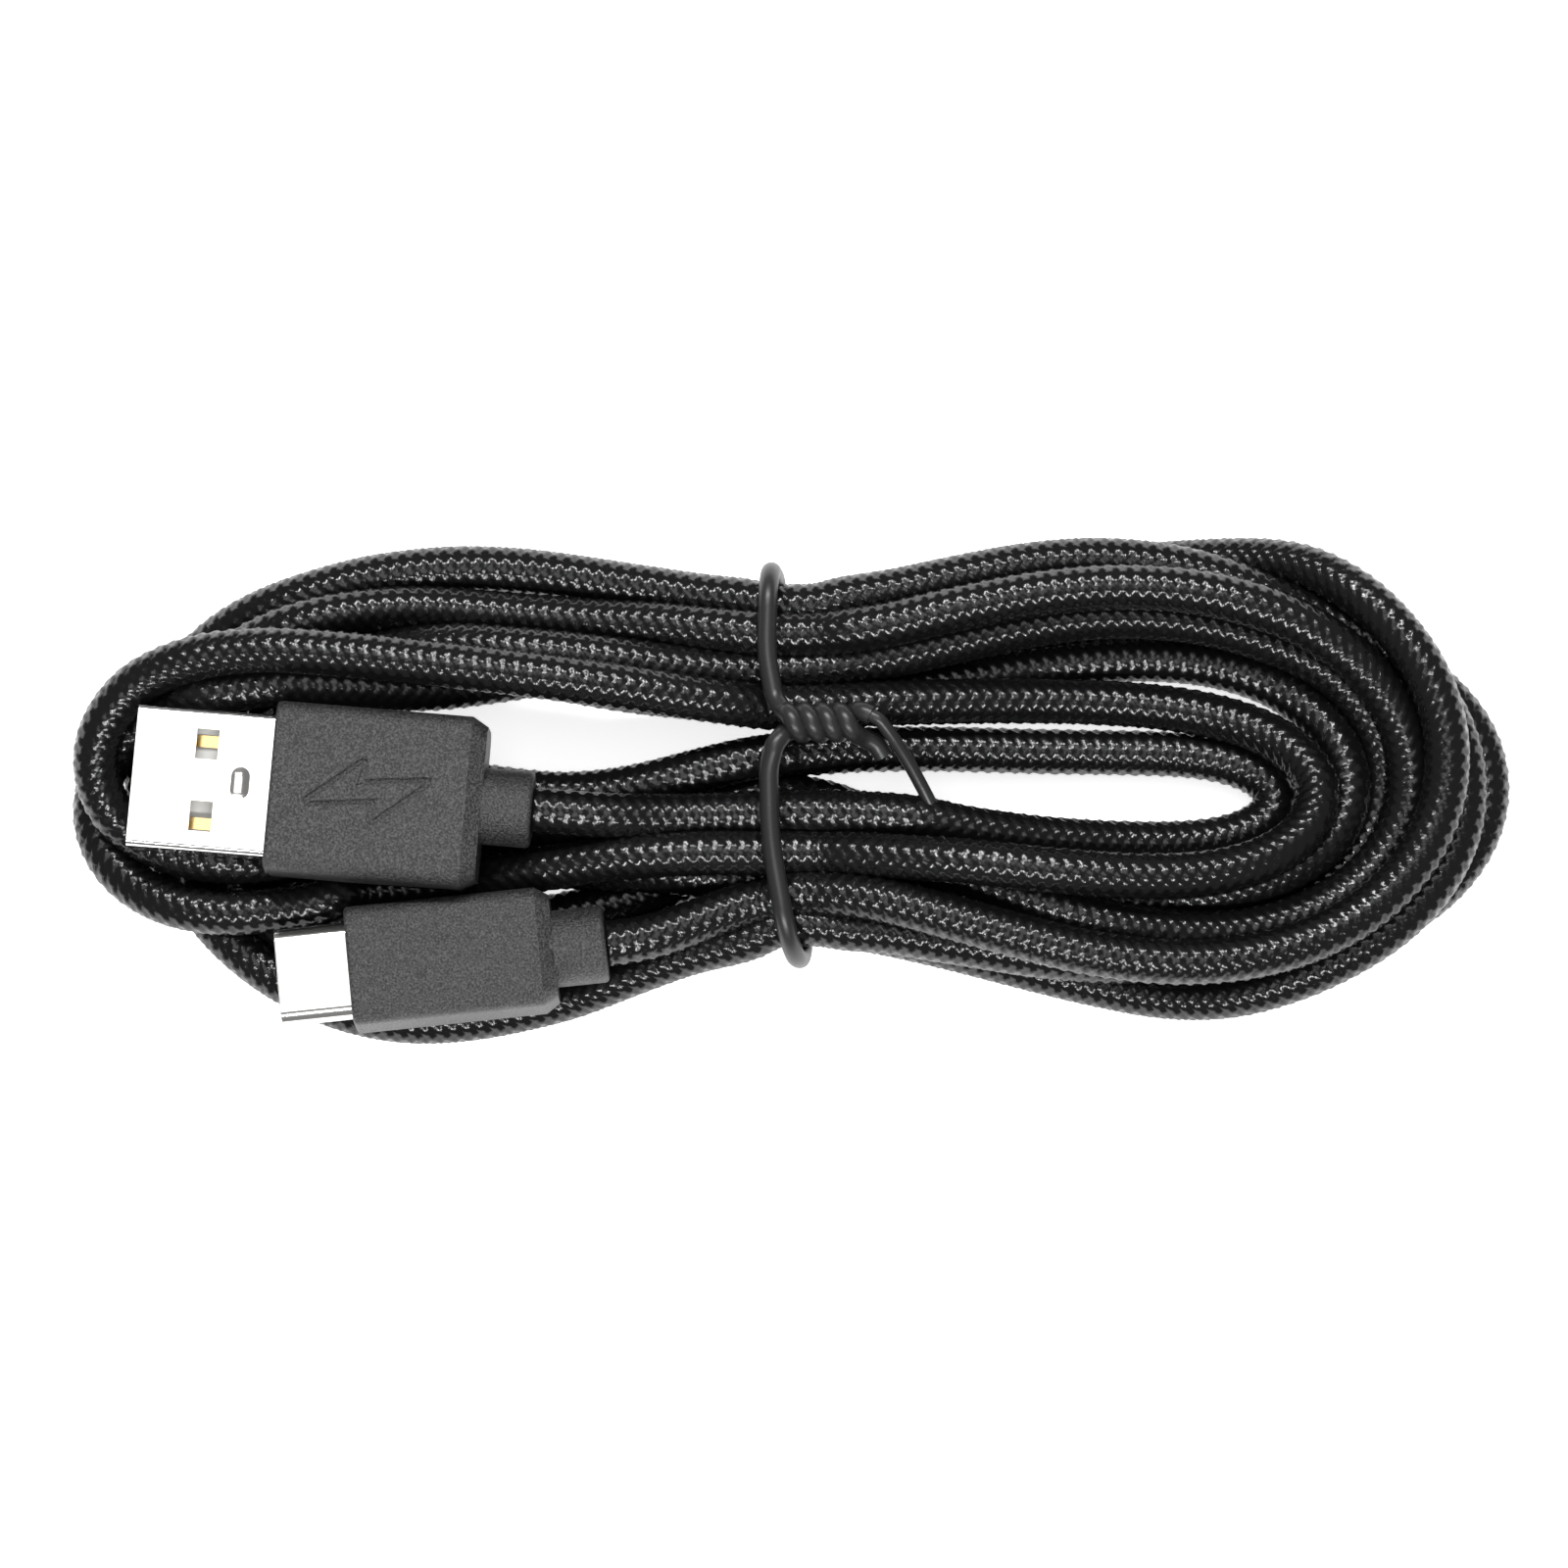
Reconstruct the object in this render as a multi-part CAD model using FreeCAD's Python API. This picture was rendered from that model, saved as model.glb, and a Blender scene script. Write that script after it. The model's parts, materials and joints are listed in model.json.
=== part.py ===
"""Charging cable, USB-A to USB-C, wound in a flat oval hank that a wire tie holds at its waist.

Millimetres. +Z is up, +X runs along the hank away from its plugs, and the origin is the middle
of the whole cable's outline on the surface it lies on. Each plug is built along its own axis,
from the point where the cord leaves it (local x = 0) towards its nose (local -x), and then
placed on the hank.
"""

import FreeCAD, Part
import math
import os

V = FreeCAD.Vector

# ---- cord and hank -----------------------------------------------------------------------
cord_diameter = 3.8
layer_height = cord_diameter
nested_layer = 3.4            # height that a second layer adds where it lies in the grooves
crossing_rise = 2.4           # that a turn crossing over both layers adds
a_rest_gap = 1.8              # between the USB-A plug and the lower turns: some cross below it
c_rest_gap = 0.5              # between the USB-C plug and the lower turns
waist_half_length = 4.6       # of the bundle's tied middle, along X
waist_low_y = -13.9
waist_high_y = 17.0
waist_corner = 3.3
waist_height = 8.0            # of the bundle inside the tie: two layers with some turns crossing
waist_lift = 2.0              # how far the tie below lifts the bundle

# ---- wire tie ----------------------------------------------------------------------------
tie_diameter = 1.65
tie_tail_diameter = 1.15      # past the twist, where the coat is drawn thin
tie_core_diameter = 0.6
tie_gap = 0.13                # between the tie and the bundle
channel_half_length = 3.6     # of the space below the bundle that the tie runs through
knot_x = -0.9                 # where the twist starts
knot_y = 4.6
twist_pitch = 3.0
twist_turns = 2
twist_steps = 8               # points in each turn of the twist
twist_slack = 0.3             # between the two wires across the twist

# ---- USB-A plug --------------------------------------------------------------------------
a_exit = V(-22.1, -2.6, 0)   # z is worked out from the layers below
a_yaw = -4.8
a_shell_width = 12.0
a_shell_height = 4.5
a_shell_wall = 0.3
a_shell_shown = 11.7
a_shell_held = 5.0
a_shell_corner = 0.55
a_window_length = 1.9
a_window_width = 2.55
a_window_from_nose = 5.1
a_window_spacing = 6.1
a_dimple_from_nose = 9.1
a_dimple_depth = 0.14
a_dimple_ball = 4.6           # diameter of the round edge that presses it
a_dimple_travel = 1.15        # that it is longer across the sleeve than along it
a_tongue_height = 1.84
a_tongue_inset = 0.6          # behind the sleeve's mouth
a_insulator_rear = 1.5        # length of its block inside the moulding
a_contact_inset = 1.4
a_contact_tail = 2.6          # past the sleeve's rear
a_contact_width = 1.0
a_contact_thickness = 0.25
a_contact_sunk = 0.12
a_contact_spots = (-3.5, -1.0, 1.0, 3.5)
a_mould_width = 14.4
a_mould_height = 8.0
a_mould_length = 17.8
a_mould_corner = 1.5
a_rear_taper = 1.3
a_neck_diameter = 6.5
a_neck_length = 4.2
a_can_overlap = 1.6           # of the can over the sleeve's rear
a_can_corner = 0.9
a_solder_from_shell = 2.0

# ---- USB-C plug --------------------------------------------------------------------------
c_exit = V(-15.9, -13.8, 0)
c_yaw = 6.0
c_roll = -7.0
c_shell_width = 8.34
c_shell_height = 2.56
c_shell_wall = 0.3
c_shell_shown = 6.1
c_shell_held = 4.6
c_slot_width = 6.7
c_slot_height = 0.8
c_slot_depth = 5.0
c_contact_pitch = 0.5
c_contact_count = 12
c_contact_width = 0.26
c_contact_thickness = 0.16
c_contact_sunk = 0.05
c_contact_inset = 1.6
c_contact_tail = 1.0          # past the sleeve's rear
c_insert_inset = 0.35         # behind the sleeve's mouth
c_latch_thickness = 0.2
c_latch_arm = 0.35
c_latch_margin = 0.45         # from the sleeve's sides
c_latch_ends = (1.3, -1.2)    # from the mouth and from the sleeve's rear
c_latch_bridge = 0.8
c_ground_ends = (0.9, 3.4)    # both from the mouth
c_ground_width = 5.2
c_ground_thickness = 0.14
c_board_thickness = 0.6
c_board_length = 5.0
c_board_margin = 0.3          # from the sleeve's sides
c_resistor_size = (1.0, 0.5, 0.3)
c_resistor_from_shell = 1.6
c_mould_width = 10.2
c_mould_height = 6.5
c_mould_length = 17.3
c_mould_corner = 1.5
c_rear_taper = 1.2
c_neck_diameter = 6.5
c_neck_length = 4.4
c_can_overlap = 0.6
c_can_corner = 1.6
c_solder_side = 2.4           # of the wires' joints from the board's middle
c_solder_from_end = 0.9

# ---- inside both plugs -------------------------------------------------------------------
can_wall = 0.3
can_clearance = 0.1
wire_diameter = 0.9
wire_spread = 0.62            # of the four wires from the cord's middle
wire_held = 1.0               # how far the wires reach into the jacket's end
wire_straight = 1.2           # at the soldered end of each
solder_size = 1.3
cord_held = 7.0               # how far the cord reaches into a plug
crimp_overlap = 0.2           # of the can's crimp into the neck
flange_length = 1.2           # of the neck's end inside the moulding
flange_step = 1.0             # that it is smaller than the neck
neck_rounding = 0.4
front_rounding = 0.35
mouth_rounding = 0.08
mark_length = 9.6
mark_width = 4.6
mark_groove = 0.5
mark_depth = 0.3


# ---- building blocks ---------------------------------------------------------------------
def block(x, y, z):
    """A box between the two values of x, y and z."""
    return Part.makeBox(x[1] - x[0], y[1] - y[0], z[1] - z[0], V(x[0], y[0], z[0]))


def rounded_section(x, width, height, corner, lift=0.0):
    """A rounded rectangle across the X axis, as a wire."""
    y, z = width / 2, height / 2
    r = min(corner, 0.999 * y, 0.999 * z)
    s = r * (1 - math.sqrt(0.5))
    points = []
    for sy, sz in ((1, 1), (-1, 1), (-1, -1), (1, -1)):
        side = V(x, sy * y, lift + sz * (z - r))
        top = V(x, sy * (y - r), lift + sz * z)
        middle = V(x, sy * (y - s), lift + sz * (z - s))
        points.append((side, middle, top) if sy * sz > 0 else (top, middle, side))
    edges = []
    for i, (start, middle, end) in enumerate(points):
        edges.append(Part.Arc(start, middle, end).toShape())
        following = points[(i + 1) % 4][0]
        if end.distanceToPoint(following) > 1e-3:
            edges.append(Part.LineSegment(end, following).toShape())
    return Part.Wire(Part.__sortEdges__(edges))


def bar(x, width, height, corner, lift=0.0):
    """A bar along X with a rounded section."""
    face = Part.Face(rounded_section(x[0], width, height, corner, lift))
    return face.extrude(V(x[1] - x[0], 0, 0))


def rod(x, diameter, y=0.0, z=0.0):
    """A round rod along X."""
    return Part.makeCylinder(diameter / 2, x[1] - x[0], V(x[0], y, z), V(1, 0, 0))


def rounded_path(points, notes=None):
    """Straight runs joined by tangent arcs as large as the runs allow."""
    edges = []
    start = points[0]
    for before, corner, after in zip(points, points[1:], points[2:]):
        arrive = (corner - before).normalize()
        leave = (after - corner).normalize()
        turn = arrive.getAngle(leave)
        reach = 0.45 * min((corner - before).Length, (after - corner).Length)
        radius = reach / math.tan(turn / 2)
        inward = (leave - arrive).normalize()
        arc_start = corner - arrive * reach
        arc_end = corner + leave * reach
        middle = corner + inward * (radius / math.cos(turn / 2) - radius)
        edges.append(Part.LineSegment(start, arc_start).toShape())
        edges.append(Part.Arc(arc_start, middle, arc_end).toShape())
        start = arc_end
        if notes is not None:
            notes.append(radius)
    edges.append(Part.LineSegment(start, points[-1]).toShape())
    return Part.Wire(edges)


def tube(points, diameter, name=""):
    """A round solid along a rounded path. A named one prints its bends and its volume."""
    radii = []
    path = rounded_path(points, radii)
    first = (points[1] - points[0]).normalize()
    ring = Part.Wire(Part.makeCircle(diameter / 2, points[0], first))
    solid = path.makePipeShell([ring], True, False)
    if name:
        expected = math.pi * diameter**2 / 4 * path.Length
        print(name, "length", round(path.Length, 1), "radii", [round(r, 1) for r in radii],
              "volume ratio", round(solid.Volume / expected, 3))
    return solid


def smooth_plate(outline, z):
    """A plate whose outline is a closed smooth curve through the given points."""
    curve = Part.BSplineCurve()
    curve.interpolate(Points=[V(x, y, z[0]) for x, y in outline], PeriodicFlag=True)
    face = Part.Face(Part.Wire(curve.toShape()))
    return face.extrude(V(0, 0, z[1] - z[0]))


def one(shape):
    """The shape's only solid, with its faces merged."""
    merged = shape.removeSplitter()
    assert len(merged.Solids) == 1, len(merged.Solids)
    return merged.Solids[0]


def without(shape, tools):
    """The shape with each tool cut away in turn, which keeps touching tools apart."""
    for tool in tools:
        shape = shape.cut(tool)
    return shape


def group(shapes):
    """Separate solids kept in one node."""
    return Part.makeCompound(shapes)


def placed(shape, exit_point, yaw, roll=0.0):
    """A plug's shape, moved from its own axis to its place on the hank."""
    copy = shape.copy()
    copy.rotate(V(0, 0, 0), V(1, 0, 0), roll)
    copy.rotate(V(0, 0, 0), V(0, 0, 1), yaw)
    copy.translate(exit_point)
    return copy


# ---- hank --------------------------------------------------------------------------------
bundle_top = waist_lift + waist_height
upper_top = layer_height + nested_layer
lead_height = waist_lift + nested_layer + cord_diameter / 2
a_exit.z = layer_height + a_rest_gap + a_mould_height / 2
c_roll_drop = c_mould_width / 2 * math.sin(math.radians(abs(c_roll)))
c_exit.z = layer_height + c_rest_gap + c_mould_height / 2 + c_roll_drop


def waist_section(x, grow=0.0):
    """The bundle's rounded section at the tie."""
    middle = (waist_low_y + waist_high_y) / 2
    width = waist_high_y - waist_low_y + 2 * grow
    height = bundle_top - waist_lift + 2 * grow
    wire = rounded_section(x, width, height, waist_corner + grow, (bundle_top + waist_lift) / 2)
    wire.translate(V(0, middle, 0))
    return wire


def waist():
    """The tied middle of the bundle, raised by the tie that runs below it."""
    face = Part.Face(waist_section(-waist_half_length))
    return face.extrude(V(2 * waist_half_length, 0, 0))


def hank_gaps():
    """The two long openings between the hank's strands: right of the tie and left of it."""
    right = [(6.5, -1.6), (14, -2.4), (26, -2.9), (36, -1.7), (38.6, -0.6), (35, 0.2),
             (20, 0.7), (8, 1.4), (5.2, 0.4)]
    left = [(-24.5, 1.6), (-16, 2.9), (-7, 4.3), (-5.4, 5.0), (-8, 5.2), (-18, 5.0), (-24.5, 4.6)]
    z = (-1, bundle_top + 1)
    return [smooth_plate(right, z), smooth_plate(left, z)]


def lower_layer():
    """The turns that lie on the surface, all round the hank."""
    outline = [(-52.2, 12.2), (-40, 18.9), (-26, 21.0), (-9, 18.6), (0, 17.6), (12, 20.2),
               (27.7, 21.78), (44.6, 20.6), (54.5, 14.2), (61.1, 4.8), (61.1, -4),
               (53.6, -11.7), (44.5, -17.9), (33, -19.3), (14, -17.5), (0, -14.2),
               (-12, -15.8), (-25, -20.6), (-34, -21.7), (-43.5, -18.1), (-51.5, -12.6),
               (-59.6, -8.9), (-61.5, -1), (-59.2, 7.4)]
    return smooth_plate(outline, (0, layer_height))


def upper_layers():
    """The turns on top: round the right end, and round the left end clear of the plugs."""
    right = [(waist_half_length - 1, 16.8), (14, 20.0), (28, 21.5), (43, 20.4), (53.5, 13.8), (57.6, 5),
             (57.2, -5), (51, -12.6), (40, -17.6), (26, -18.6), (13, -17), (waist_half_length - 1, -13.7),
             (waist_half_length - 1, -1.6), (waist_half_length - 1, 8)]
    left = [(1 - waist_half_length, 16.8), (-12, 18.6), (-26, 20.7), (-39, 18.8), (-51.5, 12.4),
            (-58.6, 7.2), (-61.0, 0), (-60.6, -5.4), (-58.4, -6.6), (-57.6, 0), (-57.4, 5.4),
            (-52, 7.6), (-40, 8.2), (-26, 7.4), (-23, 5.9), (-12, 6.1), (1 - waist_half_length, 6.6)]
    z = (layer_height, upper_top)
    return [smooth_plate(right, z), smooth_plate(left, z)]


def crossing_humps():
    """The turns that cross over both layers: at the far upper left and round the right end."""
    left = [(-57.8, 4.6), (-53, 8.0), (-40, 8.9), (-24, 7.6), (-23, 10.2), (-38, 12.2), (-52, 12.0),
            (-58.2, 8.0)]
    right = [(36, 20.8), (46, 18.6), (53, 13.0), (56.2, 5), (56, -4), (51.5, -10), (47, -9.6),
             (52, -3), (52.4, 5), (49.2, 11.4), (43.6, 15.6), (36, 17.4)]
    z = (upper_top - 1, upper_top + crossing_rise)
    return [smooth_plate(right, z), smooth_plate(left, z)]


def cord_hank(leads):
    """The wound cord: one solid of the hank's outer shape, which both leads run into."""
    body = lower_layer().fuse(upper_layers() + crossing_humps())
    body = body.cut(hank_gaps())
    room = block((-channel_half_length, channel_half_length), (-30, 30), (-1, waist_lift))
    beside = block((-waist_half_length, waist_half_length), (-30, 30), (-1, 20))
    body = body.cut(beside).fuse(waist())
    return one(without(body, [room, *leads]))


# ---- free stretches of cord --------------------------------------------------------------
def lead(exit_point, yaw, straight, turns):
    """The cord from a plug to the tie: straight out of the plug, then to the bundle's face."""
    angle = math.radians(yaw)
    along = V(math.cos(angle), math.sin(angle), 0)
    route = [exit_point, exit_point + along * straight]
    return route + [V(*p) for p in turns]


lead_a_route = lead(a_exit, a_yaw, 3.6, [(-15.0, -3.05, 9.02), (-11.6, -3.0, 7.9),
                                         (-8.1, -2.85, lead_height + 0.1),
                                         (-waist_half_length, -2.7, lead_height)])
lead_c_route = lead(c_exit, c_yaw, 2.6, [(-10.6, -12.75, 7.95), (-7.7, -11.65, 7.6),
                                         (-waist_half_length, -10.4, lead_height)])


# ---- wire tie ----------------------------------------------------------------------------
def tie_routes():
    """Two routes that meet in one straight run: from the short tail, through the twist, once
    round the waist and back through the twist, then the long tail."""
    off = tie_diameter / 2 + tie_gap
    top = bundle_top + off
    bottom = waist_lift - off
    far = waist_high_y + off
    near = waist_low_y - off
    knot = V(knot_x, knot_y, top + tie_diameter / 2)
    end_x = knot.x + twist_pitch * twist_turns
    spacing = (tie_diameter + twist_slack) / 2

    def strand(phase):
        points = []
        for i in range(twist_turns * twist_steps + 1):
            angle = phase + 2 * math.pi * i / twist_steps
            x = knot.x + twist_pitch * i / twist_steps
            points.append(V(x, knot.y + spacing * math.cos(angle), knot.z + spacing * math.sin(angle)))
        return points

    long_strand = strand(0)
    short_strand = strand(math.pi)
    short_tail = [V(end_x + 2.4, 1.9, knot.z - 1.5), V(end_x + 1.8, 2.9, knot.z - 1.2),
                  V(end_x + 0.7, 3.4, knot.z - 0.8)]
    near_leg = [V(-1.1, 3.4, knot.z + 0.6), V(-1.7, 2.6, knot.z + 0.9),
                V(-2.2, 0.8, knot.z + 0.4), V(-2.1, -5, top),
                V(-0.4, near, top), V(1.0, near, bottom)]
    far_leg = [V(-1.4, far, bottom), V(-2.2, far, top), V(-2.4, 10.5, top), V(-1.7, 6.7, top + 0.1)]
    long_tail = [V(end_x + 0.6, 5.5, knot.z + 0.6), V(end_x + 2.0, 4.8, knot.z + 0.75),
                 V(end_x + 2.9, 3.7, knot.z + 0.2),
                 V(end_x + 4.5, 1.4, top - 0.5), V(end_x + 6.4, -1.9, upper_top + 1.5),
                 V(end_x + 8.6, -6.3, upper_top + tie_tail_diameter / 2 + 0.2)]
    thinned = (long_tail[0] + long_tail[1]) / 2
    thick = short_tail + short_strand[::-1] + near_leg + far_leg + long_strand
    return thick + [long_tail[0], thinned], [thinned, *long_tail[1:]]


def tie_core():
    """The soft wire inside the tie."""
    thick, thin = tie_routes()
    return one(tube(thick, tie_core_diameter).fuse(tube(thin, tie_core_diameter)))


def tie_sheath(core):
    """The tie's coat."""
    thick, thin = tie_routes()
    coat = tube(thick, tie_diameter, "tie").fuse(tube(thin, tie_tail_diameter, "tie tail"))
    return one(coat.cut(core))


# ---- shared plug pieces ------------------------------------------------------------------
wire_start = wire_held - cord_held


def mark_outline(grow):
    """A plain lightning bolt lying along X, grown outwards by a distance."""
    half_length = mark_length / 2
    half_width = mark_width / 2
    corners = [(half_length, 0.25 * mark_width), (0.06 * mark_length, -half_width),
               (0.1 * mark_length, -0.1 * mark_width), (-half_length, -0.25 * mark_width),
               (-0.06 * mark_length, half_width), (-0.1 * mark_length, 0.1 * mark_width)]
    wire = Part.makePolygon([V(x, y, 0) for x, y in corners + corners[:1]])
    return wire.makeOffset2D(grow, join=0) if grow else wire


def mark(x, top):
    """The groove of a bolt-shaped mark, sunk into a surface at height top."""
    outer = Part.Face(mark_outline(mark_groove))
    inner = Part.Face(mark_outline(0))
    groove = outer.cut(inner).extrude(V(0, 0, 2 * mark_depth))
    groove.translate(V(x, 0, top - mark_depth))
    return groove


def overmould(length, width, height, corner, neck_length, taper):
    """The outer moulding: a rounded bar whose rear narrows towards the neck."""
    front = -neck_length - length
    shoulder = -neck_length - taper
    body = bar((front, shoulder), width, height, corner)
    wide = rounded_section(shoulder, width, height, corner)
    narrow = rounded_section(-neck_length, width - 1.1 * taper, height - 1.1 * taper, corner)
    rear = Part.makeLoft([wide, narrow], True, True)
    solid = one(body.fuse(rear))
    front_edges = [e for e in solid.Edges if abs(e.BoundBox.XMax - front) < 1e-6]
    return solid.makeFillet(front_rounding, front_edges)


def neck(diameter, length):
    """The strain relief: a sleeve, held inside the moulding by a flange."""
    sleeve = rod((-length, 0), diameter)
    flange_end = -length - flange_length
    flange = rod((flange_end, -length), diameter - flange_step)
    rim = [e for e in sleeve.Edges if abs(e.BoundBox.XMin) < 1e-6]
    sleeve = sleeve.makeFillet(neck_rounding, rim)
    bore = rod((flange_end - 1, 1), cord_diameter)
    return one(sleeve.fuse(flange).cut(bore))


def rear_can(x, width, height, corner, crimp_end):
    """The pressed metal can behind a shell, with a crimp round the cord."""
    outer = bar(x, width, height, corner)
    inner = bar((x[0] - 1, x[1] - can_wall), width - 2 * can_wall, height - 2 * can_wall,
                corner - can_wall)
    crimp = rod((x[1] - can_wall, crimp_end), cord_diameter + 2 * can_wall)
    return one(outer.fuse(crimp).cut(inner).cut(rod((x[1] - 2, crimp_end + 1), cord_diameter)))


def wire_starts():
    """The four wires' places in the cord, across X."""
    return [(wire_spread * sy, wire_spread * sz) for sy, sz in ((-1, 1), (-1, -1), (1, -1), (1, 1))]


def jacket_end():
    """The cord's end inside a plug, with the bores that its four wires leave by."""
    end = rod((-cord_held, 0), cord_diameter)
    for y, z in wire_starts():
        end = end.cut(rod((-cord_held, wire_start), wire_diameter, y, z))
    return one(end)


def wires(far_x, far_spots):
    """Four wires from the cord's end to their solder spots, each given as (y, z)."""
    made = []
    for (y, z), (far_y, far_z) in zip(wire_starts(), far_spots):
        bend = -cord_held - wire_held
        route = [V(wire_start, y, z), V(bend, y, z), V(far_x + wire_straight, far_y, far_z),
                 V(far_x, far_y, far_z)]
        made.append(tube(route, wire_diameter))
    return made


def solder_joints(x, spots):
    """A small rounded lump at each wire's end."""
    return [Part.makeSphere(solder_size / 2, V(x, y, z)) for y, z in spots]


# ---- USB-A plug --------------------------------------------------------------------------
a_front = -a_neck_length - a_mould_length
a_nose = a_front - a_shell_shown
a_shell_rear = a_front + a_shell_held
a_inside_width = a_shell_width - 2 * a_shell_wall
a_inside_height = a_shell_height - 2 * a_shell_wall
a_tongue_top = -a_inside_height / 2 + a_tongue_height
a_can_rear = -cord_held - can_wall
a_can_front = a_shell_rear - a_can_overlap
a_can_width = a_shell_width + 2 * (can_wall + can_clearance)
a_can_height = a_shell_height + 2 * (can_wall + can_clearance)


def usb_a_shell():
    """The nickel sleeve, with its latch windows and its pressed dimple."""
    x = (a_nose, a_shell_rear)
    sleeve = bar(x, a_shell_width, a_shell_height, a_shell_corner)
    hollow = bar((x[0] - 1, x[1] + 1), a_inside_width, a_inside_height, a_shell_corner - a_shell_wall)
    shell = sleeve.cut(hollow)
    for side in (-1, 1):
        window_x = (a_nose + a_window_from_nose, a_nose + a_window_from_nose + a_window_length)
        middle = side * a_window_spacing / 2
        window_y = (middle - a_window_width / 2, middle + a_window_width / 2)
        shell = shell.cut(block(window_x, window_y, (-a_shell_height, a_shell_height)))
    ball = a_dimple_ball / 2
    low = a_shell_height / 2 - a_dimple_depth
    centre = V(a_nose + a_dimple_from_nose, -a_dimple_travel / 2, low + ball)
    across = V(0, a_dimple_travel, 0)
    dimple = Part.makeCylinder(ball, a_dimple_travel, centre, V(0, 1, 0))
    ends = [Part.makeSphere(ball, centre), Part.makeSphere(ball, centre + across)]
    return one(without(shell, [dimple, *ends]))


def usb_a_contact_solids():
    """Four spring contacts that lie on the tongue and reach back to the solder joints."""
    low = a_tongue_top - a_contact_sunk
    x = (a_nose + a_contact_inset, a_shell_rear + a_contact_tail)
    z = (low, low + a_contact_thickness)
    solids = []
    for y in a_contact_spots:
        strip = block(x, (y - a_contact_width / 2, y + a_contact_width / 2), z)
        tip = [e for e in strip.Edges if abs(e.BoundBox.XMax - x[0]) < 1e-6
               and abs(e.BoundBox.ZMin - z[1]) < 1e-6]
        solids.append(strip.makeFillet(0.8 * a_contact_thickness, tip))
    return solids


def usb_a_insulator(contacts):
    """The moulded tongue, and the block behind it that fills the shell's rear."""
    gap = can_clearance / 2
    width = a_inside_width - 2 * gap
    low = -a_inside_height / 2 + gap
    half = width / 2
    tongue = block((a_nose + a_tongue_inset, a_shell_rear), (-half, half), (low, a_tongue_top))
    rear = block((a_front - a_insulator_rear, a_shell_rear), (-half, half),
                 (low, a_inside_height / 2 - gap))
    return one(without(tongue.fuse(rear), contacts))


def usb_a_plug():
    """Every piece of the USB-A plug, on the plug's own axis."""
    contacts = usb_a_contact_solids()
    shell = usb_a_shell()
    insulator = usb_a_insulator(contacts)
    contact_top = a_tongue_top - a_contact_sunk + a_contact_thickness
    solder_z = contact_top + wire_diameter / 2 + can_clearance / 2
    solder_x = a_shell_rear + a_solder_from_shell
    spots = [(y, solder_z) for y in a_contact_spots]
    lines = wires(solder_x, spots)
    lumps = [without(lump, [*contacts, *lines]) for lump in solder_joints(solder_x, spots)]
    end = jacket_end()
    lines = [line.cut(end) for line in lines]
    can = rear_can((a_can_front, a_can_rear), a_can_width, a_can_height, a_can_corner,
                   -a_neck_length + crimp_overlap)
    held = [insulator, *contacts, *lines, *lumps, end]
    inner = bar((a_can_front, a_can_rear - can_wall), a_can_width - 2 * can_wall,
                a_can_height - 2 * can_wall, a_can_corner - can_wall)
    filled = bar((a_nose, a_shell_rear), a_shell_width, a_shell_height, a_shell_corner)
    inner = one(without(inner, [filled, *held, can]))
    sleeve = neck(a_neck_diameter, a_neck_length).cut(can)
    outer = overmould(a_mould_length, a_mould_width, a_mould_height, a_mould_corner,
                      a_neck_length, a_rear_taper)
    core = bar((a_can_front, a_can_rear), a_can_width, a_can_height, a_can_corner)
    bore = rod((a_can_rear - can_clearance, 1), a_neck_diameter - flange_step)
    outer = outer.cut(core).cut(filled).cut(bore)
    top_middle = (a_front - a_neck_length - a_rear_taper) / 2
    outer = outer.cut(mark(top_middle, a_mould_height / 2))
    return {
        "usb_a_shell": shell,
        "usb_a_insulator": insulator,
        "usb_a_contacts": group(contacts),
        "usb_a_rear_shield": can,
        "usb_a_inner_mould": inner,
        "usb_a_overmould": one(outer),
        "usb_a_strain_relief": one(sleeve),
        "usb_a_jacket_end": end,
        "usb_a_wire_red": one(lines[0]),
        "usb_a_wire_white": one(lines[1]),
        "usb_a_wire_green": one(lines[2]),
        "usb_a_wire_black": one(lines[3]),
        "usb_a_solder": group(lumps),
    }


# ---- USB-C plug --------------------------------------------------------------------------
c_front = -c_neck_length - c_mould_length
c_nose = c_front - c_shell_shown
c_shell_rear = c_front + c_shell_held
c_inside_width = c_shell_width - 2 * c_shell_wall
c_inside_height = c_shell_height - 2 * c_shell_wall
c_can_rear = -cord_held - can_wall
c_can_front = c_shell_rear - c_can_overlap
c_can_width = c_shell_width + 2 * (can_wall + can_clearance)
c_can_height = cord_diameter + 2 * can_wall


def usb_c_shell():
    """The seamless round-ended sleeve."""
    x = (c_nose, c_shell_rear)
    sleeve = bar(x, c_shell_width, c_shell_height, c_shell_height / 2)
    hollow = bar((x[0] - 1, x[1] + 1), c_inside_width, c_inside_height, c_inside_height / 2)
    shell = sleeve.cut(hollow)
    mouth = [e for e in shell.Edges if abs(e.BoundBox.XMax - c_nose) < 1e-6]
    return one(shell.makeFillet(mouth_rounding, mouth))


def usb_c_contact_solids(side):
    """One row of contacts, on the slot's upper (1) or lower (-1) wall."""
    z = side * (c_slot_height / 2 + c_contact_thickness / 2 - c_contact_sunk)
    x = (c_nose + c_contact_inset, c_shell_rear + c_contact_tail)
    solids = []
    for i in range(c_contact_count):
        y = (i - (c_contact_count - 1) / 2) * c_contact_pitch
        width = (y - c_contact_width / 2, y + c_contact_width / 2)
        height = (z - c_contact_thickness / 2, z + c_contact_thickness / 2)
        solids.append(block(x, width, height))
    return solids


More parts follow.
